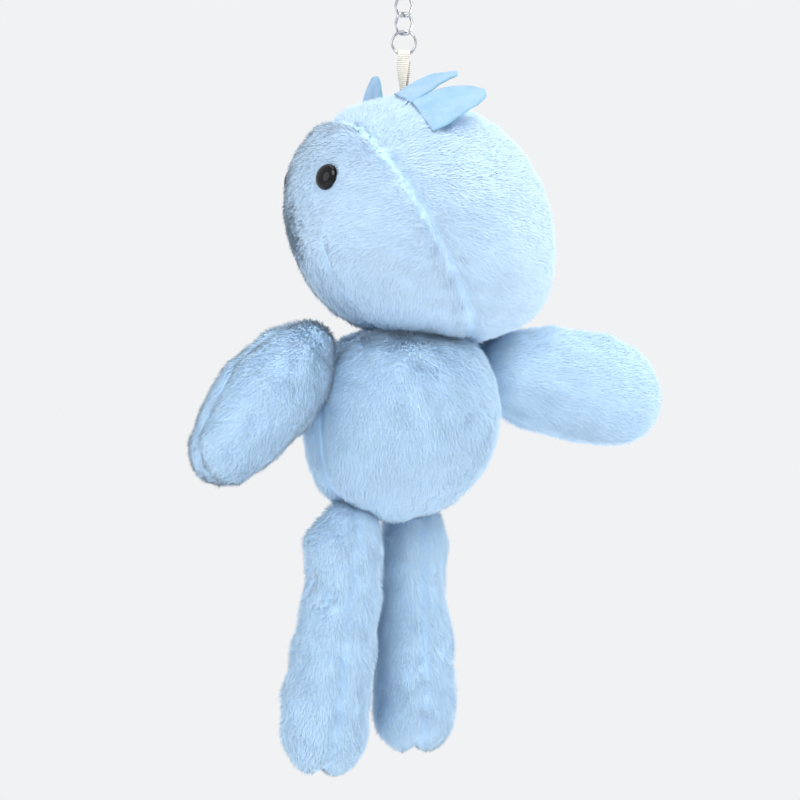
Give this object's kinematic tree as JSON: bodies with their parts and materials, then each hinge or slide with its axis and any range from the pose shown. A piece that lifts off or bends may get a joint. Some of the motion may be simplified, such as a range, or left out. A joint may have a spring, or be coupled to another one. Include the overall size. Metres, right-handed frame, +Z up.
{
  "type": "plush keychain",
  "caption": "Light-blue long-limbed plush toy with felt leaves on its head, hanging by a ribbon loop from a short chain and split ring.",
  "frame": {"origin": "hang point: the top of the split key ring's inner edge", "axes": "+Z up along the hanging line; the chest faces 32 degrees from -Y towards +X, and the face 74 degrees from -Y towards -X"},
  "size_m": [0.1345, 0.0938, 0.2541],
  "materials": {
    "polished_steel": "bright nickel-plated steel wire",
    "cream_ribbon": "ribbed woven ribbon, cream",
    "blue_felt": "pressed felt, light blue",
    "plush": "short-pile plush, light blue",
    "stuffing": "polyester fibre fill",
    "black_eye": "polished black moulded plastic",
    "white_plastic": "moulded lock washer"
  },
  "bodies": {
    "key_ring_body": {"key_ring": "polished_steel"},
    "connector_body": {"connector_ring": "polished_steel"},
    "link_1_body": {"chain_link_1": "polished_steel"},
    "link_2_body": {"chain_link_2": "polished_steel"},
    "link_3_body": {"chain_link_3": "polished_steel"},
    "jump_ring_body": {"jump_ring": "polished_steel"},
    "head": {"ribbon_loop": "cream_ribbon", "leaf_far": "blue_felt", "leaf_middle": "blue_felt", "leaf_near": "blue_felt", "head_face_panel": "plush", "head_back_panel": "plush", "head_stuffing": "stuffing", "eye_left": "black_eye", "eye_right": "black_eye", "eye_washer_left": "white_plastic", "eye_washer_right": "white_plastic"},
    "torso": {"torso_front_panel": "plush", "torso_back_panel": "plush", "torso_stuffing": "stuffing"},
    "arm_left": {"arm_left_front_panel": "plush", "arm_left_back_panel": "plush", "arm_left_stuffing": "stuffing"},
    "arm_right": {"arm_right_front_panel": "plush", "arm_right_back_panel": "plush", "arm_right_stuffing": "stuffing"},
    "leg_left": {"leg_left_front_panel": "plush", "leg_left_back_panel": "plush", "leg_left_stuffing": "stuffing"},
    "leg_right": {"leg_right_front_panel": "plush", "leg_right_back_panel": "plush", "leg_right_stuffing": "stuffing"}
  },
  "joints": [
    {"name": "connector_swing", "type": "hinge", "parent": "key_ring_body", "child": "connector_body", "pos_m": [0, 0, -0.0223], "axis": [1, 0, 0], "range_deg": [-35, 35]},
    {"name": "link_1_swing", "type": "hinge", "parent": "connector_body", "child": "link_1_body", "pos_m": [0, 0, -0.0287], "axis": [0, 1, 0], "range_deg": [-25, 25]},
    {"name": "link_2_swing", "type": "hinge", "parent": "link_1_body", "child": "link_2_body", "pos_m": [0, 0, -0.0336], "axis": [0.7071, -0.7071, 0], "range_deg": [-25, 25]},
    {"name": "link_3_swing", "type": "hinge", "parent": "link_2_body", "child": "link_3_body", "pos_m": [0, 0, -0.03775], "axis": [0.7071, 0.7071, 0], "range_deg": [-25, 25]},
    {"name": "jump_ring_swing", "type": "hinge", "parent": "link_3_body", "child": "jump_ring_body", "pos_m": [0, 0, -0.0436], "axis": [0.7071, -0.7071, 0], "range_deg": [-25, 25]},
    {"name": "head_swing", "type": "hinge", "parent": "jump_ring_body", "child": "head", "pos_m": [0, 0, -0.04935], "axis": [1, 0, 0], "range_deg": [-35, 35]},
    {"name": "neck_turn", "type": "hinge", "parent": "head", "child": "torso", "pos_m": [0.0039, 0.003, -0.13031], "axis": [0, 0, 1], "range_deg": [-20, 20], "stiffness_Nm_per_rad": 0.02},
    {"name": "arm_right_swing", "type": "hinge", "parent": "torso", "child": "arm_right", "pos_m": [-0.03163, -0.01908, -0.13721], "axis": [-0.5299, 0.848, 0], "range_deg": [-8, 25], "stiffness_Nm_per_rad": 0.05},
    {"name": "arm_left_swing", "type": "hinge", "parent": "torso", "child": "arm_left", "pos_m": [0.02943, 0.01908, -0.13841], "axis": [0.5299, -0.848, 0], "range_deg": [-20, 12], "stiffness_Nm_per_rad": 0.05},
    {"name": "leg_right_swing", "type": "hinge", "parent": "torso", "child": "leg_right", "pos_m": [-0.01521, -0.00891, -0.18211], "axis": [-0.7071, -0.7071, 0], "range_deg": [-20, 20], "stiffness_Nm_per_rad": 0.02},
    {"name": "leg_left_swing", "type": "hinge", "parent": "torso", "child": "leg_left", "pos_m": [0.00261, 0.00891, -0.18161], "axis": [-0.7071, -0.7071, 0], "range_deg": [-20, 20], "stiffness_Nm_per_rad": 0.02}
  ]
}
